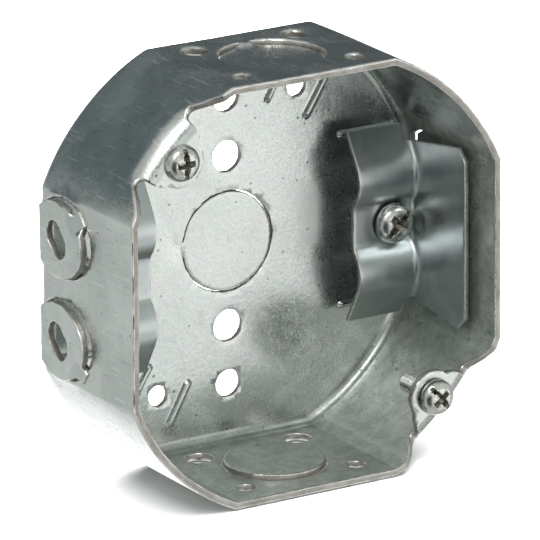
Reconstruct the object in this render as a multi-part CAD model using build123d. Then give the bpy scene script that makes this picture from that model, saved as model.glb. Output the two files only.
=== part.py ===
from build123d import *
import os
from math import cos, radians, sin, sqrt, tan

# A 4 inch octagon outlet box, standing on its bottom wall with its opening facing -Y.
# Millimetres. +Z is up, +X is to the right of a person who looks into the opening.
# The origin is the middle of the back's outer face, so the box lies at negative Y.

# ---- driving sizes ----
ROUND_RADIUS = 50.8  # the four rounded walls lie on a 4 inch circle
FLAT_HALF = 46.6  # from the middle to each of the four flat walls
DEPTH = 38.1  # 1 1/2 inch
SHEET = 1.6
BACK_BEND = 4.0  # outer radius between the back and the walls
CREASE_RADIUS = 2.5  # outer radius where a flat wall meets a rounded one

# ---- round knockouts, half inch trade size ----
KNOCKOUT_RADIUS = 11.1
KNOCKOUT_GAP = 0.3
KNOCKOUT_RAISE = 1.1  # how far a side knockout is sheared into the box
KNOCKOUT_Y = -20.4  # middle of the side knockouts
TIE_WIDTH = 2.0
TIE_REACH = 0.2  # how far a knockout's tie stands out of its edge

# ---- holes ----
BACK_LARGE_HOLES = [(0, 19.05, 3.55), (0, 32.2, 3.1)]  # x, z, radius; each has a mirror below
BACK_SMALL_HOLE = (17.8, 32.0, 2.4)  # the second one is turned half a turn
SIDE_REAR_HOLE = (12.4, -9.5, 2.8)  # x, y, radius on the top and bottom walls
SIDE_FRONT_HOLE = (13.9, -31.2, 1.8)

# ---- raised ribs pressed into the back: x, z of one end, then of the other ----
RIB_RADIUS = 0.9
RIB_HEIGHT = 0.75
TURNED_RIBS = [(15.0, 38.4, 10.5, 30.4), (20.1, 25.2, 25.6, 33.8)]
CLAMP_RIB = (28.9, 42.6, 19.3)  # from x, to x, and the z above and below the clamp

# ---- pry-outs on the left and right walls ----
PRY_Y = -11.6
PRY_Z = 11.2
PRY_HALF_DEPTH = 10.3
PRY_HALF_HEIGHT = 8.4
PRY_REAR_Y = -4.5  # the straight cut beside the back's bend
PRY_GAP = 0.3
PRY_LIFT = 0.1  # clearance between a pushed-out disc and the wall
PRY_TIE_ANGLE = 38  # from the opening side towards the near corner
PRY_TIE_REACH = 10.5  # from the disc's middle to the tie's far end, where it bends
PRY_TIE_LENGTH = 3.0
PRY_TIE_WIDTH = 3.4
SLOT_LENGTH = 8.6
SLOT_WIDTH = 6.2

# ---- cover screws and their ears ----
EAR_SCREW_RADIUS = 44.45  # half of 3 1/2 inch
EAR_ANGLES = {"upper": 135, "lower": -45}
EAR_FACE_Y = -35.2
EAR_BEND = 4.5
EAR_TIP_RADIUS = 5.6
EAR_ROOT_HALF = 10.0
RELIEF_Y = -30.4  # bottom of the reliefs beside an ear
RELIEF_FLOOR_HALF = 13.2
RELIEF_MOUTH_HALF = 18.6
COVER_SCREW_R = 2.08  # No. 8-32
COVER_HEAD_R = 4.05
COVER_HEAD_H = 2.5
COVER_SCREW_LENGTH = 12.7
BACKED_OUT = {"upper": 0.05, "lower": 0.4}
THREAD_CLEARANCE = 0.05

# ---- cable clamps ----
CLAMP_INNER_X = 27.2
CLAMP_FACE_X = 42.3  # the flange's face towards the middle of the box
CLAMP_SHEET = 1.0
VALLEY_Y = -9.4
HUMP_Y = -12.0
HUMP_Z = 10.6
HUMP_RADIUS = 8.0
HUMP_SLOPE = 42  # where a hump's arc meets the valley's
END_SLOPE = 30  # slope of the leg's straight ends
SEAT_CLEARANCE = 0.3  # between a clamp and its screw's head
LEFT_BACKED_OFF = 5.8  # how far the left clamp and its screw stand out beyond the right ones
LEG_END_Z = 21.7
FLANGE_ROOT_HALF = 18.0
LEG_END_X = 40.8  # the leg is narrower beyond the flange
FLANGE_TOP_HALF = 20.4
FLANGE_END_Y = -30.0
FLANGE_CHAMFER = 2.7
CLAMP_SCREW_X = 37.2
CLAMP_SCREW_R = 2.4  # No. 10-32
CLAMP_HEAD_R = 4.6
CLAMP_HEAD_H = 2.8
CLAMP_HOLE_R = 2.75
CLAMP_SCREW_TIP_Y = -0.1


def towards_opening(y):
    """A plane at depth y that faces the opening, with X across and Z up."""
    return Plane(origin=(0, y, 0), x_dir=(1, 0, 0), z_dir=(0, -1, 0))


def cylinder_along_y(x, z, radius, y_from, y_to):
    """A round bar or hole along Y."""
    front = min(y_from, y_to)
    length = abs(y_to - y_from)
    disc = towards_opening(front + length) * Pos(x, z) * Circle(radius)
    return extrude(disc, length)


def cylinder_along_z(x, y, radius, z_from, z_to):
    """A round bar or hole along Z."""
    low = min(z_from, z_to)
    return Pos(x, y, low) * Cylinder(
        radius, abs(z_to - z_from), align=(Align.CENTER, Align.CENTER, Align.MIN)
    )


# ---- the shell ----
def shell_block(inset, y_back, y_front, bend):
    """The box's outline, moved in by inset, with its back edge rounded."""
    round_part = Circle(ROUND_RADIUS - inset)
    flats = Rectangle(2 * (FLAT_HALF - inset), 2 * (FLAT_HALF - inset))
    block = extrude(towards_opening(y_back) * (round_part & flats), y_back - y_front)
    creases = block.edges().filter_by(Axis.Y)
    block = fillet(creases, CREASE_RADIUS - inset * 0.5)
    rim = block.faces().sort_by(Axis.Y)[-1].edges()
    return fillet(rim, bend)


def pry_outline(margin):
    """A pry-out's outline on a side wall, in the wall's own plane: Y across, Z up."""
    oval = Ellipse(PRY_HALF_DEPTH + margin, PRY_HALF_HEIGHT + margin)
    rear = PRY_REAR_Y + margin - PRY_Y
    keep = Pos(rear - 50, 0) * Rectangle(100, 100)
    return oval & keep


def pry_plane(side, height, x):
    """A plane on the left (-1) or right (+1) wall: Y across, Z up, facing +X."""
    return Plane(origin=(side * x, PRY_Y, height * PRY_Z), x_dir=(0, 1, 0), z_dir=(1, 0, 0))


def rib(x1, z1, x2, z2):
    """A raised rib on the inside of the back and the groove behind it."""
    start = Vector(x1, 0, z1)
    end = Vector(x2, 0, z2)
    run = end - start
    bar_plane = Plane(origin=start, z_dir=run)
    centre_depth = RIB_RADIUS - RIB_HEIGHT
    bar = extrude(bar_plane * Circle(RIB_RADIUS), run.length)
    bar += Pos(start) * Sphere(RIB_RADIUS)
    bar += Pos(end) * Sphere(RIB_RADIUS)
    return Pos(0, -SHEET + centre_depth, 0) * bar, Pos(0, centre_depth + 0.35, 0) * bar


def ear(angle):
    """An ear folded inwards from a rounded wall, at this angle about Y."""
    bend_r = ROUND_RADIUS - EAR_BEND
    bend_y = EAR_FACE_Y + EAR_BEND
    inner_bend = EAR_BEND - SHEET
    half = sqrt(0.5)
    with BuildSketch(Plane.XY) as profile:
        with BuildLine():
            Polyline(
                (ROUND_RADIUS - SHEET, bend_y),
                (ROUND_RADIUS - SHEET, RELIEF_Y + 1),
                (ROUND_RADIUS, RELIEF_Y + 1),
                (ROUND_RADIUS, bend_y),
            )
            ThreePointArc(
                (ROUND_RADIUS, bend_y),
                (bend_r + EAR_BEND * half, bend_y - EAR_BEND * half),
                (bend_r, EAR_FACE_Y),
            )
            Polyline(
                (bend_r, EAR_FACE_Y),
                (EAR_SCREW_RADIUS - EAR_TIP_RADIUS - 1, EAR_FACE_Y),
                (EAR_SCREW_RADIUS - EAR_TIP_RADIUS - 1, EAR_FACE_Y + SHEET),
                (bend_r, EAR_FACE_Y + SHEET),
            )
            ThreePointArc(
                (bend_r, EAR_FACE_Y + SHEET),
                (bend_r + inner_bend * half, bend_y - inner_bend * half),
                (ROUND_RADIUS - SHEET, bend_y),
            )
        make_face()
    ring = revolve(profile.sketch, Axis.Y, 360)

    # the tongue seen from the opening, with its radial direction up
    tip = Pos(0, EAR_SCREW_RADIUS) * Circle(EAR_TIP_RADIUS)
    root_z = ROUND_RADIUS + 1
    neck = make_face(
        Polyline(
            (-EAR_TIP_RADIUS, EAR_SCREW_RADIUS),
            (EAR_TIP_RADIUS, EAR_SCREW_RADIUS),
            (EAR_ROOT_HALF, root_z - 3),
            (EAR_ROOT_HALF, root_z),
            (-EAR_ROOT_HALF, root_z),
            (-EAR_ROOT_HALF, root_z - 3),
            close=True,
        )
    )
    tongue = tip + neck
    tongue -= Pos(0, EAR_SCREW_RADIUS) * Circle(COVER_SCREW_R + THREAD_CLEARANCE)
    prism = extrude(towards_opening(0) * Rot(0, 0, angle - 90) * tongue, DEPTH)
    return ring & prism


def ear_relief(angle):
    """What is cut from a rounded wall's rim so that its ear can fold."""
    outline = make_face(
        Polyline(
            (-RELIEF_MOUTH_HALF, DEPTH),
            (-RELIEF_FLOOR_HALF, -RELIEF_Y),
            (RELIEF_FLOOR_HALF, -RELIEF_Y),
            (RELIEF_MOUTH_HALF, DEPTH),
            (RELIEF_MOUTH_HALF, DEPTH + 2),
            (-RELIEF_MOUTH_HALF, DEPTH + 2),
            close=True,
        )
    )
    floor_corners = outline.vertices().sort_by(Axis.Y)[0:2]
    outline = fillet(floor_corners, 2.5)
    wall_plane = Plane(origin=(0, 0, 0), x_dir=(1, 0, 0), z_dir=(0, 0, 1))
    flipped = wall_plane * Rot(180, 0, 0) * outline
    cutter = Pos(0, 0, 40) * extrude(flipped, 15, both=True)
    return Rot(0, -(angle - 90), 0) * cutter


def make_box_body():
    outer = shell_block(0, 0, -DEPTH, BACK_BEND)
    inner = shell_block(SHEET, -SHEET, -DEPTH - 1, BACK_BEND - SHEET)
    body = outer - inner

    for angle in EAR_ANGLES.values():
        body -= ear_relief(angle)
        body += ear(angle)

    ribs = []
    for x1, z1, x2, z2 in TURNED_RIBS:
        ribs.append(rib(x1, z1, x2, z2))
        ribs.append(rib(-x1, -z1, -x2, -z2))
    for side in (-1, 1):
        for height in (-1, 1):
            z = height * CLAMP_RIB[2]
            ribs.append(rib(side * CLAMP_RIB[0], z, side * CLAMP_RIB[1], z))
    for raised, groove in ribs:
        body += raised
        body -= groove

    # knockout holes
    hole_r = KNOCKOUT_RADIUS + KNOCKOUT_GAP
    body -= cylinder_along_y(0, 0, hole_r, -SHEET - 1, 1)
    for side in (-1, 1):
        wall = side * FLAT_HALF
        body -= cylinder_along_z(0, KNOCKOUT_Y, hole_r, wall - 4, wall + 4)

    # fixing holes
    for x, z, radius in BACK_LARGE_HOLES:
        for side in (-1, 1):
            body -= cylinder_along_y(x, side * z, radius, -SHEET - 1, 1)
    x, z, radius = BACK_SMALL_HOLE
    for side in (-1, 1):
        body -= cylinder_along_y(side * x, side * z, radius, -SHEET - 1, 1)
    for x, y, radius in (SIDE_REAR_HOLE, SIDE_FRONT_HOLE):
        for side in (-1, 1):
            wall = side * FLAT_HALF
            body -= cylinder_along_z(-x, y, radius, wall - 4, wall + 4)
            body -= cylinder_along_z(x, y, radius, wall - 4, wall + 4)

    # pry-out openings and the tapped holes for the clamp screws
    for side in (-1, 1):
        for height in (-1, 1):
            window = pry_plane(side, height, FLAT_HALF) * pry_outline(PRY_GAP)
            body -= extrude(window, SHEET + 1, both=True)
        tapped_r = CLAMP_SCREW_R + THREAD_CLEARANCE
        body -= cylinder_along_y(side * CLAMP_SCREW_X, 0, tapped_r, -SHEET - 1, 1)
    return body


# ---- knockouts and pry-outs ----
def make_back_knockout():
    disc = cylinder_along_y(0, 0, KNOCKOUT_RADIUS, -SHEET, 0)
    tie = Pos(-KNOCKOUT_RADIUS, -SHEET / 2, 0) * Box(2 * TIE_REACH, SHEET, TIE_WIDTH)
    return disc + tie


def make_side_knockout(side):
    """The top (+1) or bottom (-1) wall's disc, sheared a little into the box."""
    inner_face = FLAT_HALF - SHEET
    lower = inner_face - KNOCKOUT_RAISE
    disc = cylinder_along_z(0, KNOCKOUT_Y, KNOCKOUT_RADIUS, side * lower, side * (lower + SHEET))
    tie_z = side * (lower + SHEET / 2)
    tie_y = KNOCKOUT_Y + KNOCKOUT_RADIUS
    tie = Pos(0, tie_y, tie_z) * Box(TIE_WIDTH, 2 * TIE_REACH, SHEET)
    return disc + tie


def make_pryout(side, height):
    """A disc pushed out of the left (-1) or right (+1) wall, with its screwdriver slot."""
    inner_x = FLAT_HALF + PRY_LIFT
    outer_x = inner_x + SHEET
    slot = Rot(0, 0, 45) * SlotOverall(SLOT_LENGTH, SLOT_WIDTH)
    outline = pry_outline(0) - slot
    plane = pry_plane(side, height, inner_x)
    disc = extrude(plane * outline, side * SHEET)

    # the sheared tie that it bends about, on the edge towards the opening
    reach = PRY_TIE_REACH - PRY_TIE_LENGTH / 2
    tie_y = -reach * cos(radians(PRY_TIE_ANGLE))
    tie_z = height * reach * sin(radians(PRY_TIE_ANGLE))
    block = Rot(0, 0, -height * PRY_TIE_ANGLE) * Rectangle(PRY_TIE_LENGTH, PRY_TIE_WIDTH)
    tie = extrude(plane * Pos(tie_y, tie_z) * block, side * SHEET * 0.7)
    return disc + tie


# ---- clamps ----
def leg_edge(offset):
    """The clamp leg's wave as points and arcs (Z, Y), moved to the back by offset."""
    slope = radians(HUMP_SLOPE)
    end_slope = radians(END_SLOPE)
    drop = VALLEY_Y - HUMP_Y
    valley_radius = drop / (1 - cos(slope)) - HUMP_RADIUS
    hump_r = HUMP_RADIUS - offset
    valley_r = valley_radius + offset
    hump_centre = HUMP_Y + HUMP_RADIUS
    valley_centre = VALLEY_Y - valley_radius
    valley_z = HUMP_Z - (HUMP_RADIUS + valley_radius) * sin(slope)
    end_of_hump = (HUMP_Z + hump_r * sin(end_slope), hump_centre - hump_r * cos(end_slope))
    leg_tip_z = LEG_END_Z - offset * sin(end_slope)
    tip = (leg_tip_z, end_of_hump[1] + (leg_tip_z - end_of_hump[0]) * tan(end_slope))
    middle = (
        valley_z + valley_r * sin(slope),
        valley_centre + valley_r * cos(slope),
    )
    half_way = (
        valley_z + valley_r * sin(slope / 2),
        valley_centre + valley_r * cos(slope / 2),
    )
    return {
        "valley": (valley_z, VALLEY_Y + offset),
        "valley_arc": half_way,
        "middle": middle,
        "crest": (HUMP_Z, HUMP_Y + offset),
        "end": end_of_hump,
        "tip": tip,
    }


def wave_line(offset):
    """The whole wave from the lower tip to the upper one, as a wire in (Z, Y)."""
    upper = leg_edge(offset)

    def down(name):
        z, y = upper[name]
        return (-z, y)

    line = Line(down("tip"), down("end"))
    line += ThreePointArc(down("end"), down("crest"), down("middle"))
    line += ThreePointArc(down("middle"), down("valley_arc"), down("valley"))
    line += Line(down("valley"), upper["valley"])
    line += ThreePointArc(upper["valley"], upper["valley_arc"], upper["middle"])
    line += ThreePointArc(upper["middle"], upper["crest"], upper["end"])
    line += Line(upper["end"], upper["tip"])
    return line


def make_right_clamp():
    leg_face = make_face(
        [
            wave_line(0),
            Line(leg_edge(0)["tip"], leg_edge(CLAMP_SHEET)["tip"]),
            wave_line(CLAMP_SHEET),
            Line(
                (-leg_edge(0)["tip"][0], leg_edge(0)["tip"][1]),
                (-leg_edge(CLAMP_SHEET)["tip"][0], leg_edge(CLAMP_SHEET)["tip"][1]),
            ),
        ]
    )
    # sketch X is the box's Z and sketch Y is the box's Y, so the sheet runs along +X
    wave_plane = Plane(origin=(CLAMP_INNER_X, 0, 0), x_dir=(0, 0, 1), z_dir=(-1, 0, 0))
    leg_width = CLAMP_FACE_X + CLAMP_SHEET - CLAMP_INNER_X
    leg = extrude(wave_plane * leg_face, -leg_width)
    for side in (-1, 1):
        relief_z = side * (FLANGE_ROOT_HALF + 5)
        leg -= Pos(LEG_END_X + 5, -10, relief_z) * Box(10, 16, 10)

    # the flange stands on the wave's front and widens towards the opening
    wave = leg_edge(0)
    right_half = [
        (FLANGE_ROOT_HALF, 0),
        (FLANGE_ROOT_HALF, wave["end"][1]),
        (FLANGE_TOP_HALF, FLANGE_END_Y + FLANGE_CHAMFER),
        (FLANGE_TOP_HALF - FLANGE_CHAMFER, FLANGE_END_Y),
    ]
    left_half = [(-z, y) for z, y in reversed(right_half)]
    sheet = make_face(Polyline(*right_half, *left_half, close=True))
    tip_y = wave["tip"][1]
    behind = [
        wave_line(0),
        Line((LEG_END_Z, tip_y), (LEG_END_Z, 0)),
        Line((LEG_END_Z, 0), (-LEG_END_Z, 0)),
        Line((-LEG_END_Z, 0), (-LEG_END_Z, tip_y)),
    ]
    sheet -= make_face(behind)
    flange_plane = Plane(origin=(CLAMP_FACE_X, 0, 0), x_dir=(0, 0, 1), z_dir=(-1, 0, 0))
    flange = extrude(flange_plane * sheet, -CLAMP_SHEET)
    clamp = leg + flange
    return clamp - cylinder_along_y(CLAMP_SCREW_X, 0, CLAMP_HOLE_R, VALLEY_Y - 2, 0)


# ---- screws ----
def make_screw(x, z, seat_y, shank_r, length, head_r, head_h):
    """A pan head screw along Y whose head's underside is at seat_y."""
    head = cylinder_along_y(x, z, head_r, seat_y - head_h, seat_y)
    rim = head.faces().sort_by(Axis.Y)[0].edges()
    head = fillet(rim, head_h * 0.55)
    shank = cylinder_along_y(x, z, shank_r, seat_y, seat_y + length)
    end = shank.faces().sort_by(Axis.Y)[-1].edges()
    shank = chamfer(end, 0.5)
    return head + shank


def make_cover_screw(name):
    angle = radians(EAR_ANGLES[name])
    return make_screw(
        EAR_SCREW_RADIUS * cos(angle),
        EAR_SCREW_RADIUS * sin(angle),
        EAR_FACE_Y - BACKED_OUT[name],
        COVER_SCREW_R,
        COVER_SCREW_LENGTH,
        COVER_HEAD_R,
        COVER_HEAD_H,
    )


def make_clamp_screw(side, backed_off):
    seat_y = VALLEY_Y - SEAT_CLEARANCE - backed_off
    return make_screw(
        side * CLAMP_SCREW_X,
        0,
        seat_y,
        CLAMP_SCREW_R,
        CLAMP_SCREW_TIP_Y - seat_y,
        CLAMP_HEAD_R,
        CLAMP_HEAD_H,
    )


def make_parts():
    right_clamp = make_right_clamp()
    parts = {
        "box_body": make_box_body(),
        "back_knockout": make_back_knockout(),
        "top_knockout": make_side_knockout(1),
        "bottom_knockout": make_side_knockout(-1),
        "left_upper_pryout": make_pryout(-1, 1),
        "left_lower_pryout": make_pryout(-1, -1),
        "right_upper_pryout": make_pryout(1, 1),
        "right_lower_pryout": make_pryout(1, -1),
        "right_clamp": right_clamp,
        "left_clamp": Pos(0, -LEFT_BACKED_OFF, 0) * mirror(right_clamp, Plane.YZ),
        "left_clamp_screw": make_clamp_screw(-1, LEFT_BACKED_OFF),
        "right_clamp_screw": make_clamp_screw(1, 0),
        "upper_cover_screw": make_cover_screw("upper"),
        "lower_cover_screw": make_cover_screw("lower"),
    }
    return parts


os.makedirs("parts", exist_ok=True)
for name, solid in make_parts().items():
    box = solid.bounding_box()
    print(name, len(solid.solids()), "solid", box.min, box.max)
    export_step(solid, f"parts/{name}.step")
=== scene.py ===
import math
import random

import bmesh
import bpy
import numpy as np
from mathutils import Matrix, Vector, geometry
from mathutils.kdtree import KDTree


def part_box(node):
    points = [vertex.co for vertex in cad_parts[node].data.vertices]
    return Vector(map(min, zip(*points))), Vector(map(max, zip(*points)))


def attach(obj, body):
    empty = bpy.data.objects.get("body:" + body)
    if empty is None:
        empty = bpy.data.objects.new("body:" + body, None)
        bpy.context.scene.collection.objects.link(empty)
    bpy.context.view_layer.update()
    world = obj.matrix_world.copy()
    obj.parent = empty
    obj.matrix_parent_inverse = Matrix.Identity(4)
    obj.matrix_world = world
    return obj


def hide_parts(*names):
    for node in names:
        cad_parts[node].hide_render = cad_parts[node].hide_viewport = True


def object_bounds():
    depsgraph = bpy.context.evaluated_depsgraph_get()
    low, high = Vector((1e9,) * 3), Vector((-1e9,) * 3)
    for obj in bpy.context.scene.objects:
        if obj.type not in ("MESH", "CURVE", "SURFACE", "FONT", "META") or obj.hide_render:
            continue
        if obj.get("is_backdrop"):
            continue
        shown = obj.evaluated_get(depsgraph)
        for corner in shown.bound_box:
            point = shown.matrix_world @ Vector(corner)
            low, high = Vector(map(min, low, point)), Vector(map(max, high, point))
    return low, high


# A pressed steel outlet box. Every piece of sheet is made as it is in a press: a flat outline with
# its holes is cut into triangles, then formed, thickened and rounded along its cut edges.
# Lengths below are millimetres, and a mesh is made in metres at the end.

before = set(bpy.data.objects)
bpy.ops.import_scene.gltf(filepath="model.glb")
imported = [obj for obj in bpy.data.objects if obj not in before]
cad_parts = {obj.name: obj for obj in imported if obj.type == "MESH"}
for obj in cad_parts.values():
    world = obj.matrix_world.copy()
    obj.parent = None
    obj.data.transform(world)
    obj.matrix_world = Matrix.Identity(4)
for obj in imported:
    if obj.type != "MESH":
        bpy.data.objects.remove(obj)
cad_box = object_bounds()

MM = 0.001
SHEET = 1.6
CLAMP_SHEET = 1.0


def low(node):
    """A CAD node's lowest corner, in millimetres."""
    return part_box(node)[0] / MM


def high(node):
    """A CAD node's highest corner, in millimetres."""
    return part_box(node)[1] / MM


# ---- sizes read from the frame ----
FLAT_HALF = high("box_body").x
DEPTH = -low("box_body").y
KNOCKOUT_R = high("back_knockout").x
SIDE_KNOCKOUT_Y = low("top_knockout").y + KNOCKOUT_R
SIDE_KNOCKOUT_TOP = high("top_knockout").z
PRY_Z = (low("left_upper_pryout").z + high("left_upper_pryout").z) / 2
PRY_HALF_HEIGHT = high("left_upper_pryout").z - PRY_Z
PRY_FRONT_Y = low("left_upper_pryout").y
PRY_REAR_Y = high("left_upper_pryout").y
COVER_HEAD_R = (high("upper_cover_screw").x - low("upper_cover_screw").x) / 2
COVER_SCREW_X = high("lower_cover_screw").x - COVER_HEAD_R
CLAMP_SCREW_X = (high("right_clamp_screw").x + low("right_clamp_screw").x) / 2
CLAMP_INNER_X = low("right_clamp").x
LEFT_BACKED_OFF = low("right_clamp").y - low("left_clamp").y
CLAMP_FACE_X = high("right_clamp").x - CLAMP_SHEET
LEG_END_Z = high("right_clamp").z
FLANGE_END_Y = low("right_clamp").y

# ---- the box's own shape ----
ROUND_RADIUS = 50.8
BACK_BEND = 4.0
CREASE_RADIUS = 2.5
CREASE_TIGHTENING = 0.3
KNOCKOUT_GAP = 0.25
KNOCKOUT_TIE_HALF = 1.6
CLAMP_BORE_R = 2.45
BACK_HOLES = [(0, 19.05, 3.55), (0, -19.05, 3.55), (0, 32.2, 3.1), (0, -32.2, 3.1),
              (17.8, 32.0, 2.4), (-17.8, -32.0, 2.4)]
SIDE_HOLES = [(12.4, -9.5, 2.8), (-12.4, -9.5, 2.8), (13.9, -31.2, 1.8), (-13.9, -31.2, 1.8)]
RIB_HEIGHT = 0.85
RIB_HALF_WIDTH = 0.95
TURNED_RIBS = [(15.0, 38.4, 10.5, 30.4), (20.1, 25.2, 25.6, 33.8)]
CLAMP_RIB = (28.9, 42.2, 19.3)
EAR_ANGLES = (135.0, -45.0)  # the upper ear and the lower one
EAR_FACE_Y = -35.2
EAR_BEND = 5.6
EAR_TIP_R = 5.6
EAR_HALF = 7.7
EAR_BORE_R = 2.15
EAR_FOLD_FULL, EAR_FOLD_NONE = 7.9, 11.8  # how far from its middle an ear folds, and stops folding
EAR_SCREW_RADIUS = COVER_SCREW_X * math.sqrt(2)
RELIEF_MOUTH = 16.4
LEFT_LEAN = 1.15  # the left wall leans in by this much at its rim
PRY_HALF_DEPTH = 10.3
PRY_TIE_ANGLE = 38.0
PRY_TIE_HALF = 1.7
PRY_TIE_REACH = 10.6
PRY_TIE_SINK = 1.55
PRY_TIE_BULGE = 0.35
PRY_GAP = 0.35
SLOT_LENGTH = 8.6
SLOT_WIDTH = 6.2

# places along the unrolled wall, from the back plate on
BEND_LENGTH = BACK_BEND * math.pi / 2
RIM = BEND_LENGTH + DEPTH - BACK_BEND
FOLD_START = BEND_LENGTH + (-EAR_FACE_Y - EAR_BEND) - BACK_BEND

# places on the unrolled ear, from the rim on
EAR_SCREW_T = FOLD_START + EAR_BEND * math.pi / 2 + (ROUND_RADIUS - EAR_BEND - EAR_SCREW_RADIUS) - RIM
EAR_TIP_T = EAR_SCREW_T + EAR_TIP_R


# ---- cutting and forming sheet ----
def arc(cx, cy, radius, start, end, step=0.7):
    """Points of an arc between two angles in degrees."""
    count = max(3, int(abs(math.radians(end - start)) * radius / step) + 1)
    angles = np.radians(np.linspace(start, end, count))
    return [(cx + radius * math.cos(a), cy + radius * math.sin(a)) for a in angles]


def circle(cx, cy, radius, step=0.6):
    return arc(cx, cy, radius, 0, 360, step)[:-1]


def subdivide(points, step, closed=True):
    """The outline with points added so that no side is longer than step."""
    ends = points[1:] + points[:1] if closed else points[1:]
    out = []
    for (x1, y1), (x2, y2) in zip(points, ends):
        count = max(1, math.ceil(math.hypot(x2 - x1, y2 - y1) / step))
        for k in range(count):
            out.append((x1 + (x2 - x1) * k / count, y1 + (y2 - y1) * k / count))
    if not closed:
        out.append(points[-1])
    return out


def inside(points, loops):
    """Which points are inside the first loop and outside the others."""
    result = np.zeros(len(points), bool)
    x, y = points[:, 0], points[:, 1]
    for loop in loops:
        ring = np.array(loop)
        following = np.roll(ring, -1, axis=0)
        for (x1, y1), (x2, y2) in zip(ring, following):
            if y1 == y2:
                continue
            crosses = (y1 > y) != (y2 > y)
            result ^= crosses & (x < x1 + (y - y1) * (x2 - x1) / (y2 - y1))
    return result


def cut(loops, fill, clearance=0.45):
    """Triangles over a flat region. loops are its outlines, fill the points wanted within it."""
    fill = np.array(fill, float)
    fill = fill[inside(fill, loops)]
    border = [p for loop in loops for p in loop]
    tree = KDTree(len(border))
    for index, (x, y) in enumerate(border):
        tree.insert((x, y, 0), index)
    tree.balance()
    kept = [p for p in fill if tree.find((p[0], p[1], 0))[2] > clearance]
    edges = []
    start = 0
    for loop in loops:
        count = len(loop)
        edges += [(start + k, start + (k + 1) % count) for k in range(count)]
        start += count
    points = [Vector((float(x), float(y))) for x, y in border + kept]
    found = geometry.delaunay_2d_cdt(points, edges, [], 0, 1e-5)
    flat = np.array([tuple(p) for p in found[0]])
    triangles = np.array([list(f) for f in found[2]])
    corners = flat[triangles]
    side_1, side_2 = corners[:, 1] - corners[:, 0], corners[:, 2] - corners[:, 0]
    areas = (side_1[:, 0] * side_2[:, 1] - side_1[:, 1] * side_2[:, 0]) / 2
    return flat, triangles[inside(corners.mean(axis=1), loops) & (areas > 0.0005)]


def grid(u_values, v_values):
    return [(u, v) for u in u_values for v in v_values]


def steps(start, end, step):
    return np.linspace(start, end, max(2, int(round(abs(end - start) / step)) + 1))


def smooth(edge_0, edge_1, value):
    """0 at edge_0, 1 at edge_1, and a smooth rise between them."""
    t = np.clip((value - edge_0) / (edge_1 - edge_0), 0, 1)
    return t * t * (3 - 2 * t)


def waves(points, size, seed):
    """A smooth random height for each point, about -1 to 1, with features of this size."""
    rng = random.Random(seed)
    total = np.zeros(len(points))
    for _ in range(7):
        direction = Vector([rng.gauss(0, 1) for _ in range(3)]).normalized()
        pitch = size * rng.uniform(0.7, 1.6)
        phase = rng.uniform(0, 6.28)
        total += np.sin(points @ np.array(direction) * (2 * math.pi / pitch) + phase)
    return total / 3.2


def press(name, patches, thickness, materials, edge, buckle, burr, seed, emboss=None):
    """Makes a sheet piece. patches are (formed points, triangles) of the face whose normal points
    away from the thickness. Patches that meet are joined. edge holds the radii of the near and far
    face's edges. emboss moves both faces' points."""
    shape = bmesh.new()
    for points, triangles in patches:
        verts = [shape.verts.new(p) for p in points.tolist()]
        for a, b, c in triangles.tolist():
            shape.faces.new((verts[a], verts[b], verts[c]))
    loose = [v for v in shape.verts if not v.link_faces]
    bmesh.ops.delete(shape, geom=loose, context="VERTS")
    bmesh.ops.remove_doubles(shape, verts=shape.verts, dist=0.03)
    shape.verts.index_update()
    shape.normal_update()
    places, faces, kinds, edge_points = thicken(shape, thickness, edge)
    shape.free()
    places = roughen(places, faces, edge_points, buckle, burr, seed)
    if emboss:
        places = places + emboss(places)
    piece = new_piece(name, places.tolist(), faces)
    for material in materials:
        piece.data.materials.append(material)
    piece.data.polygons.foreach_set("material_index", kinds)
    shade(piece)
    return piece


def thicken(shape, thickness, edge):
    """Both faces of the sheet and its rounded edge. Returns the points, the faces, each face's
    kind (0 sheet, 1 sheared edge, 2 rubbed corner) and which points are on the edge."""
    count = len(shape.verts)
    front = np.array([v.co[:] for v in shape.verts])
    normals = np.array([v.normal[:] for v in shape.verts])
    outward = np.zeros((count, 3))
    sides = []
    for line in shape.edges:
        if not line.is_boundary:
            continue
        corner = line.link_loops[0]
        a, b = corner.vert.index, corner.link_loop_next.vert.index
        sides.append((a, b))
        along = front[b] - front[a]
        away = np.cross(along, normals[a] + normals[b])
        away /= max(np.linalg.norm(away), 1e-9)
        outward[a] += away
        outward[b] += away
    border = np.unique(np.array(sides).ravel())
    lengths = np.linalg.norm(outward[border], axis=1, keepdims=True)
    # a corner needs a longer step for its two sides to move in by the same distance
    outward[border] *= np.minimum(2 / np.maximum(lengths, 1e-6) ** 2, 1.6 / np.maximum(lengths, 1e-6))
    curve = 1 - math.sqrt(0.5)
    near, far = edge
    profile = [(-curve * near, curve * near), (0, near), (0, thickness - far),
               (-curve * far, thickness - curve * far)]
    back = front - normals * thickness
    rows = [front[border] + outward[border] * out - normals[border] * depth
            for out, depth in profile]
    place_in_row = {int(v): k for k, v in enumerate(border)}
    front[border] -= outward[border] * near
    back[border] -= outward[border] * far
    places = np.vstack([front, back] + rows)
    faces = []
    kinds = []
    for face in shape.faces:
        a, b, c = (v.index for v in face.verts)
        faces += [(a, b, c), (count + c, count + b, count + a)]
        kinds += [0, 0]
    for a, b in sides:
        column_a, column_b = (
            [v] + [2 * count + k * len(border) + place_in_row[v] for k in range(4)] + [count + v]
            for v in (a, b))
        for k, kind in enumerate((2, 2, 1, 2, 2)):
            faces.append((column_a[k], column_a[k + 1], column_b[k + 1], column_b[k]))
            kinds.append(kind)
    edge_points = np.zeros(len(places))
    edge_points[2 * count:] = 1
    return places, faces, kinds, edge_points


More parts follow.
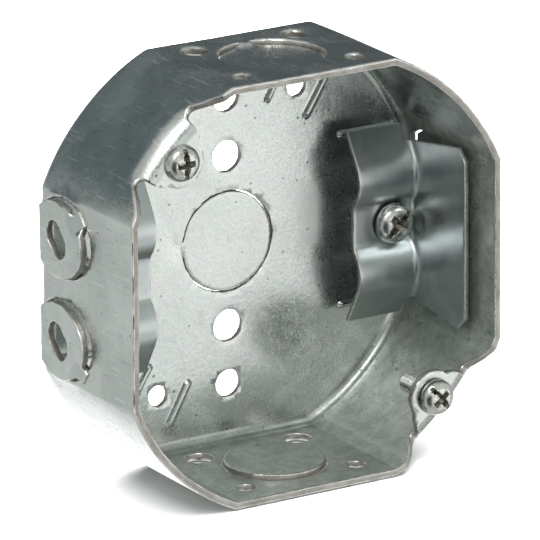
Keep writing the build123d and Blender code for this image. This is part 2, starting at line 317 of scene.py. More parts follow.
def roughen(places, faces, edge_points, buckle, burr, seed):
    """Gives sheet its slight buckles, and its cut edges a ragged line."""
    # both faces of the sheet move the same way, so that the sheet keeps its thickness
    push = np.stack([waves(places, 30, seed + k) for k in (0, 1, 2)], 1)
    push += 0.3 * np.stack([waves(places, 11, seed + k) for k in (3, 4, 5)], 1)
    ragged = np.stack([waves(places, size, seed + k) for size, k in ((2.4, 6), (1.1, 7), (1.7, 8))], 1)
    return places + buckle * push + burr * ragged * edge_points[:, None]


def shade(piece, angle=38):
    mesh = piece.data
    mesh.polygons.foreach_set("use_smooth", [True] * len(mesh.polygons))
    mesh.set_sharp_from_angle(angle=math.radians(angle))


# ---- the box's outline, as a ring seen from the opening ----
def ring_lengths():
    corner = math.sqrt((ROUND_RADIUS - CREASE_RADIUS) ** 2 - (FLAT_HALF - CREASE_RADIUS) ** 2)
    turn = math.atan2(corner, FLAT_HALF - CREASE_RADIUS)
    crease = CREASE_RADIUS * turn
    curve = ROUND_RADIUS * (math.pi / 2 - 2 * turn)
    return [corner, crease, curve, crease, corner]


QUARTER_LENGTHS = ring_lengths()
QUARTER = sum(QUARTER_LENGTHS)
QUARTER_STARTS = [sum(QUARTER_LENGTHS[:k]) for k in range(5)]


def ring(s, inset):
    """Points (x, z) of the outline at distance s along it from the right wall's middle, with the
    whole outline moved in by inset."""
    s = np.asarray(s, float) % (4 * QUARTER)
    quadrant = np.minimum((s / QUARTER).astype(int), 3)
    along = s - quadrant * QUARTER
    # the second half of a quarter mirrors the first
    mirrored = along > QUARTER / 2
    along = np.where(mirrored, QUARTER - along, along)
    flat = FLAT_HALF - inset
    radius = ROUND_RADIUS - inset
    crease = np.maximum(CREASE_RADIUS - CREASE_TIGHTENING * inset, 0.4)
    cx = flat - crease
    cz = np.sqrt((radius - crease) ** 2 - cx ** 2)
    turn = np.arctan2(cz, cx)
    corner, bend, curve = QUARTER_LENGTHS[:3]
    on_crease = (along - corner) / bend * turn
    on_curve = turn + (along - corner - bend) / curve * (math.pi / 2 - 2 * turn)
    parts = [along <= corner, along <= corner + bend]
    x = np.select(parts, [flat, cx + crease * np.cos(on_crease)], radius * np.cos(on_curve))
    z = np.select(parts, [along / corner * cz, cz + crease * np.sin(on_crease)],
                  radius * np.sin(on_curve))
    x, z = np.where(mirrored, z, x), np.where(mirrored, x, z)
    angle = quadrant * (math.pi / 2)
    return x * np.cos(angle) - z * np.sin(angle), x * np.sin(angle) + z * np.cos(angle)


def ring_columns():
    """Distances along the ring that put points on every crease."""
    columns = []
    for quadrant in range(4):
        for start, length in zip(QUARTER_STARTS, QUARTER_LENGTHS):
            count = 3 if length < 2 else round(length / 1.25)
            offsets = np.linspace(0, length, count + 1)[:-1]
            columns += [quadrant * QUARTER + start + o for o in offsets]
    return columns


COLUMNS = ring_columns()


def ear_place(angle):
    """Where an ear's middle is along the ring."""
    return (angle % 360) / 90 * QUARTER


def from_ear(s, angle):
    """Distance along the ring from an ear's middle, the short way round."""
    total = 4 * QUARTER
    return (s - ear_place(angle) + total / 2) % total - total / 2


def wall_form(points):
    """Folds the unrolled wall up: s along the ring, t from the back plate to the rim and on."""
    s, t = points[:, 0], points[:, 1]
    bend = np.clip(t / BACK_BEND, 0, math.pi / 2)
    inset = BACK_BEND * (1 - np.sin(bend))
    y = -BACK_BEND * (1 - np.cos(bend)) - np.maximum(t - BEND_LENGTH, 0)
    x, z = ring(s, inset)
    for angle in EAR_ANGLES:
        a = from_ear(s, angle)
        # the ear folds inwards
        over = np.maximum(t - FOLD_START, 0)
        fold = np.clip(over / EAR_BEND, 0, math.pi / 2)
        inward = EAR_BEND * (1 - np.cos(fold)) + np.maximum(over - EAR_BEND * math.pi / 2, 0)
        folded_y = EAR_FACE_Y + EAR_BEND - EAR_BEND * np.sin(fold)
        share = smooth(EAR_FOLD_NONE, EAR_FOLD_FULL, np.abs(a)) * (over > 0)
        x = x - math.cos(math.radians(angle)) * inward * share
        z = z - math.sin(math.radians(angle)) * inward * share
        y = y + (folded_y - y) * share
    x = x + LEFT_LEAN * np.clip(-x / FLAT_HALF, 0, 1) ** 8 * -y / DEPTH
    out = np.stack([x, y, z], axis=1)
    return out + wall_details(out, s, t)


def wall_details(places, s, t):
    """The pulled edge round each pry-out and small hole, and the dent at each knockout's tie."""
    shift = np.zeros_like(places)
    on_wall = t > BEND_LENGTH * 0.8
    for side in (-1, 1):
        for height in (-1, 1):
            mid_y = PRY_FRONT_Y + PRY_HALF_DEPTH
            across = np.hypot((places[:, 1] - mid_y) / (PRY_HALF_DEPTH + 0.3),
                              (places[:, 2] - height * PRY_Z) / (PRY_HALF_HEIGHT + 0.3))
            lip = smooth(1.22, 1.02, across) * on_wall
            shift[:, 0] += side * 0.28 * lip * (side * places[:, 0] > FLAT_HALF - 1)
    for side in (-1, 1):
        face = (side * places[:, 2] > FLAT_HALF - 1) & on_wall
        for x, y, radius in SIDE_HOLES:
            distance = np.hypot(places[:, 0] - x, places[:, 1] - y)
            shift[:, 2] -= side * 0.3 * smooth(radius + 1.5, radius + 0.1, distance) * face
        tie = np.hypot(places[:, 0] / 2.2, (places[:, 1] - SIDE_KNOCKOUT_Y - KNOCKOUT_R - 1.3) / 1.3)
        shift[:, 2] -= side * 0.35 * smooth(1.0, 0.2, tie) * face
    return shift


def half_relief():
    """Half of an ear and the relief beside it, from the wall's rim to the ear's tip, as distance
    from the ear's middle and height above the rim."""
    screw_t = EAR_TIP_T - EAR_TIP_R
    line = [(RELIEF_MOUTH, 0), (RELIEF_MOUTH - 0.8, -0.4), (13.2, -2.4)]
    line += arc(9.75, -3.6, 1.7, -38, -175, 0.5)
    line += [(EAR_HALF, -1.5), (EAR_HALF - 0.8, 0.6)]
    line += arc(0, screw_t, EAR_TIP_R, 8, 90, 0.6)
    return line


def wall_outline():
    """The unrolled wall's outline: the back edge, one end, the rim with its ears, the other end."""
    total = 4 * QUARTER
    lower_edge = [(s, 0.0) for s in COLUMNS] + [(total, 0.0)]
    right_end = subdivide([(total, 0.0), (total, RIM)], 0.9, closed=False)[1:]
    runs = [[(s, RIM)] for s in COLUMNS[1:]
            if all(abs(from_ear(s, a)) > RELIEF_MOUTH + 0.5 for a in EAR_ANGLES)]
    half = half_relief()
    for angle in EAR_ANGLES:
        place = ear_place(angle)
        run = [(place + a, RIM + h) for a, h in half]
        runs.append(run + [(place - a, RIM + h) for a, h in reversed(half[:-1])])
    runs.sort(key=lambda run: -run[0][0])
    rim = [p for run in runs for p in run]
    left_end = [(0.0, v) for _, v in reversed(right_end)]
    return lower_edge + right_end + rim + left_end


def pry_outline(margin):
    """A pry-out's outline as (y, z) from its own middle."""
    across = PRY_HALF_DEPTH + margin
    up = PRY_HALF_HEIGHT + margin
    rear = PRY_REAR_Y - PRY_FRONT_Y - PRY_HALF_DEPTH + margin
    start = math.degrees(math.acos(rear / across))
    angles = np.radians(np.linspace(start, 360 - start, 64))
    return [(across * math.cos(a), up * math.sin(a)) for a in angles]


def wall_place(wall, across, y):
    """Unrolled place of a point on one flat wall. across is its x or z, seen from outside."""
    middle = {"right": 0, "top": 1, "left": 2, "bottom": 3}[wall] * QUARTER
    # on the top and left walls, x or z falls as the ring runs on
    along = across if wall in ("right", "bottom") else -across
    return ((middle + along) % (4 * QUARTER), BEND_LENGTH + (-y) - BACK_BEND)


def wall_holes():
    holes = []
    for wall in ("top", "bottom"):
        cx, cy = wall_place(wall, 0, SIDE_KNOCKOUT_Y)
        holes.append(circle(cx, cy, KNOCKOUT_R + KNOCKOUT_GAP))
        for x, y, radius in SIDE_HOLES:
            cx, cy = wall_place(wall, x, y)
            holes.append(circle(cx, cy, radius, 0.45))
    for wall in ("left", "right"):
        for height in (-1, 1):
            cx, cy = wall_place(wall, height * PRY_Z, PRY_FRONT_Y + PRY_HALF_DEPTH)
            loop = [(cx + z, cy - y) for y, z in pry_outline(PRY_GAP)]
            holes.append(subdivide(loop, 0.8))
    return holes


def plate_relief(places):
    """How far each point of the back moves: ribs towards the opening, and a dent at the tie."""
    x, z = places[:, 0], places[:, 2]
    move = np.zeros_like(places)
    on_back = places[:, 1] > -2.5
    for line in rib_lines():
        distance = distance_to_line(x, z, line)
        rise = (1 - np.clip(distance / RIB_HALF_WIDTH, 0, 1) ** 2.2) ** 1.3
        move[:, 1] -= RIB_HEIGHT * rise * on_back
    dent = np.hypot((x + KNOCKOUT_R + 1.2) / 1.7, z / 3.2)
    move[:, 1] += 0.3 * smooth(1.0, 0.1, dent) * on_back
    return move


def distance_to_line(x, z, line):
    x1, z1, x2, z2 = line
    run_x, run_z = x2 - x1, z2 - z1
    share = np.clip(((x - x1) * run_x + (z - z1) * run_z) / (run_x ** 2 + run_z ** 2), 0, 1)
    return np.hypot(x - x1 - share * run_x, z - z1 - share * run_z)


def rib_lines():
    lines = []
    for line in TURNED_RIBS:
        lines += [line, tuple(-value for value in line)]
    for side in (-1, 1):
        for height in (-1, 1):
            z = height * CLAMP_RIB[2]
            lines.append((side * CLAMP_RIB[0], z, side * CLAMP_RIB[1], z))
    return lines


def rib_fill():
    """Close points over each rib, so that its shape shows."""
    fill = []
    for x1, z1, x2, z2 in rib_lines():
        length = math.hypot(x2 - x1, z2 - z1)
        ux, uz = (x2 - x1) / length, (z2 - z1) / length
        for along in steps(-1.5, length + 1.5, 0.45):
            for off in steps(-1.5, 1.5, 0.3):
                fill.append((x1 + ux * along - uz * off, z1 + uz * along + ux * off))
    return fill


def make_box_body(materials):
    outline = wall_outline()
    rows = list(steps(0, BEND_LENGTH, 0.55)[1:]) + list(steps(BEND_LENGTH, RIM - 11, 1.4)[1:])
    fill = grid(COLUMNS, rows + list(steps(RIM - 11, RIM, 0.8)[1:]))
    for angle in EAR_ANGLES:
        place = ear_place(angle)
        fill += [(place + a, RIM + h) for a in steps(-9, 9, 0.75) for h in steps(-9, EAR_TIP_T, 0.6)]
    ear_holes = [circle(ear_place(a), RIM + EAR_SCREW_T, EAR_BORE_R, 0.5) for a in EAR_ANGLES]
    flat, triangles = cut([outline] + wall_holes() + ear_holes, fill)
    wall = wall_form(flat), triangles

    base_x, base_z = ring(np.array(COLUMNS), BACK_BEND)
    plate_outline = list(zip(base_x.tolist(), base_z.tolist()))
    holes = [circle(x, z, radius, 0.5) for x, z, radius in BACK_HOLES]
    holes.append(circle(0, 0, KNOCKOUT_R + KNOCKOUT_GAP))
    holes += [circle(side * CLAMP_SCREW_X, 0, CLAMP_BORE_R, 0.5) for side in (-1, 1)]
    coarse = np.array(grid(steps(-43, 43, 1.6), steps(-43, 43, 1.6)))
    for line in rib_lines():
        coarse = coarse[distance_to_line(coarse[:, 0], coarse[:, 1], line) > 1.7]
    flat, triangles = cut([plate_outline] + holes, coarse.tolist() + rib_fill(), 0.25)
    plate = np.stack([flat[:, 0], np.zeros(len(flat)), flat[:, 1]], axis=1), triangles[:, ::-1]
    return press("pressed_box", [wall, plate], SHEET, materials, edge=(0.45, 0.2), buckle=0.06,
                 burr=0.06, seed=5, emboss=plate_relief)


# ---- knockouts and pry-outs ----
def knockout_disc(name, materials, place, seed, raise_by=0.0, flip=1):
    """A disc with the stub of its tie. place maps (u, v, height) to the box's frame, and the tie
    is at +v. The disc's outer face has height 0 or more."""
    tie = KNOCKOUT_TIE_HALF
    reach = KNOCKOUT_R + 0.5
    start = math.degrees(math.asin(tie / KNOCKOUT_R))
    loop = arc(0, 0, KNOCKOUT_R, 90 + start, 450 - start, 0.6)
    loop += [(tie, reach), (0, reach), (-tie, reach)]
    rings = []
    for radius in steps(1.4, KNOCKOUT_R - 0.8, 1.3):
        rings += circle(0, 0, radius, 1.3)
    flat, triangles = cut([loop], rings)
    u, v = flat[:, 0], flat[:, 1]
    lift = -raise_by * smooth(KNOCKOUT_R - 2.2, KNOCKOUT_R + 0.3, v) * smooth(3.2, 1.4, np.abs(u))
    return press(name, [(place(u, v, lift), triangles[:, ::flip])], SHEET, materials, edge=(0.3, 0.3),
                 buckle=0.03, burr=0.03, seed=seed)


def make_back_knockout(materials):
    # the tie is on the left
    def place(u, v, height):
        return np.stack([-v, np.zeros(len(v)), -u], axis=1)

    return knockout_disc("middle_disc", materials, place, 11)


def make_side_knockout(name, side, materials):
    def place(u, v, height):
        return np.stack([side * -u, SIDE_KNOCKOUT_Y + v, side * (SIDE_KNOCKOUT_TOP - height)], axis=1)

    raise_by = FLAT_HALF - SIDE_KNOCKOUT_TOP
    return knockout_disc(name, materials, place, 12 if side > 0 else 13, raise_by, -1)


def make_pryout(name, side, height, materials, seed):
    """A disc levered out of a side wall, with its screwdriver slot and its bent tie."""
    turn = math.radians(180 - PRY_TIE_ANGLE)
    away = (math.cos(turn), math.sin(turn))
    loop = []
    for y, z in subdivide(pry_outline(0), 0.7):
        off = -y * away[1] + z * away[0]
        along = y * away[0] + z * away[1]
        if along <= 0 or abs(off) >= PRY_TIE_HALF:
            loop.append((y, z))
    loop.sort(key=lambda p: (math.atan2(p[1], p[0]) - turn) % (2 * math.pi))
    for share in (-1, -0.4, 0.4, 1):
        off = PRY_TIE_HALF * share
        loop.append((away[0] * PRY_TIE_REACH - away[1] * off, away[1] * PRY_TIE_REACH + away[0] * off))
    slot = slot_outline(SLOT_LENGTH, SLOT_WIDTH, 45 * height)
    fill = grid(steps(-10, 10, 0.9), steps(-9, 9, 0.9))
    flat, triangles = cut([subdivide(loop, 0.8), slot], fill)
    y, z = flat[:, 0], flat[:, 1]
    along = y * away[0] + z * away[1]
    off = np.abs(-y * away[1] + z * away[0])
    sink = PRY_TIE_SINK * smooth(7.4, 10.0, along) * smooth(3.4, 1.5, off)
    bulge = PRY_TIE_BULGE * smooth(4.8, 7.4, along) * smooth(9.4, 7.6, along) * smooth(3.2, 1.0, off)
    out = high("right_upper_pryout").x - sink + bulge
    formed = np.stack([side * out, y + PRY_FRONT_Y + PRY_HALF_DEPTH, height * (PRY_Z + z)], axis=1)
    facing = triangles[:, ::side * height]
    return press(name, [(formed, facing)], SHEET, materials, edge=(0.3, 0.2), buckle=0.05, burr=0.05,
                 seed=seed)


def slot_outline(length, width, angle):
    half = (length - width) / 2
    turn = math.radians(angle)
    points = arc(half, 0, width / 2, -90, 90, 0.5) + arc(-half, 0, width / 2, 90, 270, 0.5)
    return [(x * math.cos(turn) - y * math.sin(turn), x * math.sin(turn) + y * math.cos(turn))
            for x, y in points]


# ---- clamps ----
LEG_WIDTH = CLAMP_FACE_X - CLAMP_INNER_X
CLAMP_BEND = 1.4
CLAMP_HOLE_R = 2.75
VALLEY_Y = -9.4
HUMP_Y = -12.0
HUMP_Z = 10.6
HUMP_RADIUS = 8.0
HUMP_SLOPE = math.radians(42)
END_SLOPE = math.radians(30)
FLANGE_ROOT_HALF = 18.0
FLANGE_TOP_HALF = 20.4
LEG_END_X = 40.8
FLANGE_CHAMFER = 2.7


def leg_wave(z):
    """The clamp leg's height over the back: a flat valley, a hump each side, sloping ends."""
    z = np.abs(z)
    valley_radius = (VALLEY_Y - HUMP_Y) / (1 - math.cos(HUMP_SLOPE)) - HUMP_RADIUS
    valley_z = HUMP_Z - (HUMP_RADIUS + valley_radius) * math.sin(HUMP_SLOPE)
    inner_end = valley_z + valley_radius * math.sin(HUMP_SLOPE)
    outer_end = HUMP_Z + HUMP_RADIUS * math.sin(END_SLOPE)
    hump_middle = HUMP_Y + HUMP_RADIUS
    valley_arc = VALLEY_Y - valley_radius + np.sqrt(
        np.maximum(valley_radius ** 2 - np.maximum(z - valley_z, 0) ** 2, 0))
    hump_arc = hump_middle - np.sqrt(np.maximum(HUMP_RADIUS ** 2 - (z - HUMP_Z) ** 2, 0))
    end_line = (hump_middle - HUMP_RADIUS * math.cos(END_SLOPE)
                + (z - outer_end) * math.tan(END_SLOPE))
    return np.where(z < inner_end, valley_arc, np.where(z < outer_end, hump_arc, end_line))


def make_clamp(name, side, backed_off, materials, seed):
    bend_start = LEG_WIDTH - CLAMP_BEND
    bend_end = bend_start + CLAMP_BEND * math.pi / 2
    top = bend_end + (-FLANGE_END_Y) - 10
    notch = LEG_END_X - CLAMP_INNER_X
    half = [(LEG_END_Z, 0), (LEG_END_Z, notch - 0.6), (LEG_END_Z - 0.6, notch)]
    half += [(FLANGE_ROOT_HALF + 0.5, notch), (FLANGE_ROOT_HALF, notch + 0.5)]
    half += [(FLANGE_ROOT_HALF, bend_end), (FLANGE_TOP_HALF, top - FLANGE_CHAMFER)]
    half += [(FLANGE_TOP_HALF - FLANGE_CHAMFER, top)]
    loop = half + [(-z, v) for z, v in reversed(half)]
    screw = circle(0, CLAMP_SCREW_X - CLAMP_INNER_X, CLAMP_HOLE_R, 0.5)
    rows = list(steps(0.8, bend_start, 0.9)) + list(steps(bend_start, bend_end, 0.3)[1:])
    rows += list(steps(bend_end, top, 0.9)[1:])
    fill = grid(steps(-LEG_END_Z, LEG_END_Z, 0.6), rows)
    flat, triangles = cut([subdivide(loop, 0.7), screw], fill, 0.3)
    z, v = flat[:, 0], flat[:, 1]
    turn = np.clip((v - bend_start) / CLAMP_BEND, 0, math.pi / 2)
    x = CLAMP_INNER_X + np.minimum(v, bend_start) + CLAMP_BEND * np.sin(turn)
    wave = leg_wave(z)
    rise = np.clip((v - bend_end) / (top - bend_end), 0, 1)
    root = wave - CLAMP_BEND
    y = wave - CLAMP_BEND * (1 - np.cos(turn))
    y = np.where(v > bend_end, root + (FLANGE_END_Y - root) * rise, y)
    # the flange leans and the screw has dimpled the sheet beside it
    dimple = np.hypot(z / 2.6, (v - bend_end - 2.0) / 2.2)
    x = x + 0.45 * smooth(1.0, 0.0, dimple) + 0.25 * np.sin(rise * 2.4)
    sunk = smooth(7.0, 3.6, np.hypot(z, x - CLAMP_SCREW_X))
    y = y + 0.25 * sunk * (v < bend_start)
    formed = np.stack([side * x, y - backed_off, z], axis=1)
    facing = triangles[:, ::-side]
    return press(name, [(formed, facing)], CLAMP_SHEET, materials, edge=(0.2, 0.2), buckle=0.05,
                 burr=0.02, seed=seed)


# ---- screws ----
THREAD_PITCH = 0.79
CLAMP_SCREW_SIZE = (2.8, 2.3)  # the head's height and the shank's radius
COVER_SCREW_SIZE = (2.5, 2.02)


def revolve(profile, count):
    """A closed solid of revolution about Y from (radius, y) points that start and end on it."""
    verts = [(0, profile[0][1], 0)]
    for radius, y in profile[1:-1]:
        for k in range(count):
            angle = 2 * math.pi * k / count
            verts.append((radius * math.cos(angle), y, radius * math.sin(angle)))
    verts.append((0, profile[-1][1], 0))
    faces = []
    rings = len(profile) - 2
    for k in range(count):
        n = (k + 1) % count
        faces.append((0, 1 + k, 1 + n))
        for j in range(rings - 1):
            a, b = 1 + j * count, 1 + (j + 1) * count
            faces.append((a + k, b + k, b + n, a + n))
        last = 1 + (rings - 1) * count
        faces.append((last + k, len(verts) - 1, last + n))
    return verts, faces


def threaded_shank(radius, length, pitch, start_y):
    """A right-handed thread as one skin of revolution whose radius turns with the helix."""
    count = 40
    row_step = pitch / 9
    rows = int(length / row_step)
    depth = 0.55 * pitch
    verts = []
    for row in range(rows + 1):
        y = row * row_step
        fade = min(1.0, (length - y) / (1.6 * pitch))
        for k in range(count):
            turn = k / count
            phase = (y / pitch + turn) % 1
            crest = 1 - abs(2 * phase - 1)
            crest = min(1.0, max(0.0, (crest - 0.12) / 0.7))
            r = radius - depth * (1 - crest * fade) - 0.25 * (1 - fade)
            angle = 2 * math.pi * turn
            verts.append((r * math.cos(angle), start_y + y, r * math.sin(angle)))
    faces = []
    for row in range(rows):
        for k in range(count):
            n = (k + 1) % count
            a, b = row * count, (row + 1) * count
            faces.append((a + k, b + k, b + n, a + n))
    faces.append(tuple(range(count)))
    faces.append(tuple(reversed(range(rows * count, (rows + 1) * count))))
    return verts, faces


def wedge(length, top_width, low_width, top_y, low_y, low_length):
    """A tapered bar across the axis, wide at the top, that cuts one arm of a recess."""
    verts = []
    for y, w, l in ((top_y, top_width, length), (low_y, low_width, low_length)):
        verts += [(-l / 2, y, -w / 2), (l / 2, y, -w / 2), (l / 2, y, w / 2), (-l / 2, y, w / 2)]
    faces = [(0, 1, 2, 3), (7, 6, 5, 4), (0, 4, 5, 1), (1, 5, 6, 2), (2, 6, 7, 3), (3, 7, 4, 0)]
    return verts, faces


def new_piece(name, verts, faces):
    mesh = bpy.data.meshes.new(name)
    mesh.from_pydata([tuple(c * MM for c in v) for v in verts], [], faces)
    piece = bpy.data.objects.new(name, mesh)
    bpy.context.scene.collection.objects.link(piece)
    return piece


def bake_modifiers(piece):
    """Replaces the mesh with what its modifiers make of it."""
    bpy.context.view_layer.update()
    depsgraph = bpy.context.evaluated_depsgraph_get()
    final = bpy.data.meshes.new_from_object(piece.evaluated_get(depsgraph))
    old = piece.data
    piece.modifiers.clear()
    piece.data = final
    bpy.data.meshes.remove(old)
    final.name = piece.name


def fix_normals(piece):
    shape = bmesh.new()
    shape.from_mesh(piece.data)
    bmesh.ops.recalc_face_normals(shape, faces=shape.faces)
    shape.to_mesh(piece.data)
    shape.free()


def recess_faces(head, profile):
    """The numbers of the faces that lie below the head's own outline, above its seat."""
    radii, tops = zip(*profile[:8])
    found = []
    for face in head.data.polygons:
        middle = face.center / MM
        radius = math.hypot(middle.x, middle.z)
        below = middle.y > np.interp(radius, radii, tops) + 0.12
        if radius < 0.92 * radii[-1] and below and middle.y < -0.15:
            found.append(face.index)
    return found


def make_screw(name, node, size, slot_angle, materials):
    """A pan head screw with a combined slot and cross recess, from its CAD node's box. size holds
    the head's height and the shank's radius."""
    start, end = low(node), high(node)
    r = (end.x - start.x) / 2
    h, shank_r = size
    seat = start.y + h
    profile = [(0, -h), (0.22 * r, -h), (0.45 * r, -0.975 * h), (0.66 * r, -0.9 * h),
               (0.82 * r, -0.74 * h), (0.93 * r, -0.5 * h), (0.985 * r, -0.25 * h), (r, -0.1 * h),
               (0.985 * r, -0.02 * h), (0.95 * r, 0), (0, 0)]
    head = new_piece(name, *revolve(profile, 96))
    fix_normals(head)
    cutters = []
    tools = [wedge(3 * r, 0.26 * r, 0.22 * r, -h - 1, -0.62 * h, 3 * r)]
    tools += [wedge(1.2 * r, 0.36 * r, 0.16 * r, -h - 0.2, -0.2 * h, 0.3 * r)] * 2
    for index, tool in enumerate(tools):
        cutter = new_piece(f"{name}_tool_{index}", *tool)
        if index == 2:
            cutter.data.transform(Matrix.Rotation(math.pi / 2, 4, "Y"))
        fix_normals(cutter)
        cutters.append(cutter)
        hollow = head.modifiers.new(f"cut_{index}", "BOOLEAN")
        hollow.operation = "DIFFERENCE"
        hollow.solver = "EXACT"
        hollow.object = cutter
    soften = head.modifiers.new("soften", "BEVEL")
    soften.width = 0.07 * MM
    soften.segments = 2
    soften.use_clamp_overlap = False
    soften.limit_method = "ANGLE"
    soften.angle_limit = math.radians(32)
    bake_modifiers(head)
    for cutter in cutters:
        bpy.data.objects.remove(cutter)
    in_recess = recess_faces(head, profile)
    shank = new_piece(f"{name}_shank", *threaded_shank(shank_r, end.y - seat + 0.6, THREAD_PITCH, -0.6))
    fix_normals(shank)
    for piece in (head, shank):
        piece.data.transform(Matrix.Rotation(math.radians(slot_angle), 4, "Y"))
        piece.data.transform(Matrix.Translation(
            Vector(((start.x + end.x) / 2, seat, (start.z + end.z) / 2)) * MM))
        piece.data.materials.clear()
        for finish in materials:
            piece.data.materials.append(finish)
    # the recess faces take the second finish, a near-black painted shade
    for index in in_recess:
        head.data.polygons[index].material_index = 1
    joined = join(head, shank)
    shade(joined, 34)
    return joined


def join(first, second):
    """Puts the second object's mesh into the first one's."""
    shape = bmesh.new()
    shape.from_mesh(first.data)
    shape.from_mesh(second.data)
    shape.to_mesh(first.data)
    shape.free()
    bpy.data.objects.remove(second)
    return first


# ---- materials ----
class Paint:
    """A material under construction: short names for the nodes that the finishes below use."""

    def __init__(self, name):
        self.material = bpy.data.materials.new(name)
        self.material.use_nodes = True
        self.tree = self.material.node_tree
        self.tree.nodes.clear()
        self.out = self.add("ShaderNodeOutputMaterial")
        self.shader = self.add("ShaderNodeBsdfPrincipled")
        self.link(self.shader.outputs[0], self.out.inputs["Surface"])
        self.place = self.add("ShaderNodeTexCoord").outputs["Object"]

    def add(self, kind, **values):
        node = self.tree.nodes.new(kind)
        for key, value in values.items():
            setattr(node, key, value)
        return node

    def link(self, a, b):
        self.tree.links.new(a, b)

    def put(self, value, socket):
        """Sets a socket to a number or a colour, or links another socket to it."""
        if isinstance(value, (int, float)):
            socket.default_value = value
        elif isinstance(value, tuple):
            socket.default_value = (*value, 1.0)
        else:
            self.link(value, socket)

    def stretched(self, scale, turn=(0, 0, 0)):
        """The object's coordinates, scaled per axis after a turn in degrees."""
        node = self.add("ShaderNodeMapping")
        node.inputs["Scale"].default_value = scale
        node.inputs["Rotation"].default_value = [math.radians(a) for a in turn]
        self.link(self.place, node.inputs["Vector"])
        return node.outputs[0]

    def axes(self):
        """The object's x, y and z in metres."""
        node = self.add("ShaderNodeSeparateXYZ")
        self.link(self.place, node.inputs[0])
        return node.outputs

    def noise(self, size, detail=3.0, rough=0.5, warp=0.0, where=None):
        """Noise from 0 to 1 with features of about this many millimetres."""
        node = self.add("ShaderNodeTexNoise")
        node.inputs["Scale"].default_value = 1 / (size * MM)
        node.inputs["Detail"].default_value = detail
        node.inputs["Roughness"].default_value = rough
        node.inputs["Distortion"].default_value = warp
        self.link(where or self.place, node.inputs["Vector"])
        return node.outputs["Fac"]

    def cells(self, size, output="Distance"):
        node = self.add("ShaderNodeTexVoronoi")
        node.inputs["Scale"].default_value = 1 / (size * MM)
        self.link(self.place, node.inputs["Vector"])
        return node.outputs[output]

    def levels(self, value, low_in, high_in, low_out=0.0, high_out=1.0):
        node = self.add("ShaderNodeMapRange")
        node.interpolation_type = "SMOOTHSTEP"
        self.link(value, node.inputs["Value"])
        for key, number in zip(("From Min", "From Max", "To Min", "To Max"),
                               (low_in, high_in, low_out, high_out)):
            node.inputs[key].default_value = number
        return node.outputs[0]

    def math(self, operation, a, b):
        node = self.add("ShaderNodeMath", operation=operation)
        self.put(a, node.inputs[0])
        self.put(b, node.inputs[1])
        return node.outputs[0]

    def mix(self, share, a, b, blend="MIX"):
        """Mixes two colours."""
        node = self.add("ShaderNodeMix", data_type="RGBA", blend_type=blend)
        self.put(share, node.inputs[0])
        self.put(a, node.inputs[6])
        self.put(b, node.inputs[7])
        return node.outputs[2]

    def bump(self, height, depth, strength=1.0, before=None):
        node = self.add("ShaderNodeBump")
        node.inputs["Distance"].default_value = depth * MM
        node.inputs["Strength"].default_value = strength
        self.link(height, node.inputs["Height"])
        if before is not None:
            self.link(before, node.inputs["Normal"])
        return node.outputs[0]

    def finish(self, colour, roughness, normal=None, metallic=1.0):
        self.link(colour, self.shader.inputs["Base Color"])
        self.link(roughness, self.shader.inputs["Roughness"])
        self.put(metallic, self.shader.inputs["Metallic"])
        if normal is not None:
            self.link(normal, self.shader.inputs["Normal"])
        return self.material


def scratches(paint, turn, size, stretch, cover):
    """Fine scratches along one direction, 1 where there is one."""
    where = paint.stretched((1.0, 1.0 / stretch, 1.0), turn)
    lines = paint.noise(size, 2.0, 0.4, 0.0, where)
    return paint.levels(lines, cover, cover + 0.05)


def matt_and_shaded_walls(paint):
    """1 over the right wall, the bottom and the round wall between, where the zinc is matt and its
    colour is darkened as painted shade.
    """
    x, _, z = paint.axes()
    # the share brings the round wall's reach to about that of the flat ones
    between = paint.math("MULTIPLY", paint.math("SUBTRACT", x, z), 0.655)
    reach = paint.math("MAXIMUM", paint.math("MAXIMUM", x, between), paint.math("MULTIPLY", z, -1.0))
    walls = paint.levels(reach, 42.5 * MM, 44.0 * MM)
    return paint.math("MULTIPLY", walls, paint.levels(x, -28 * MM, -22 * MM))


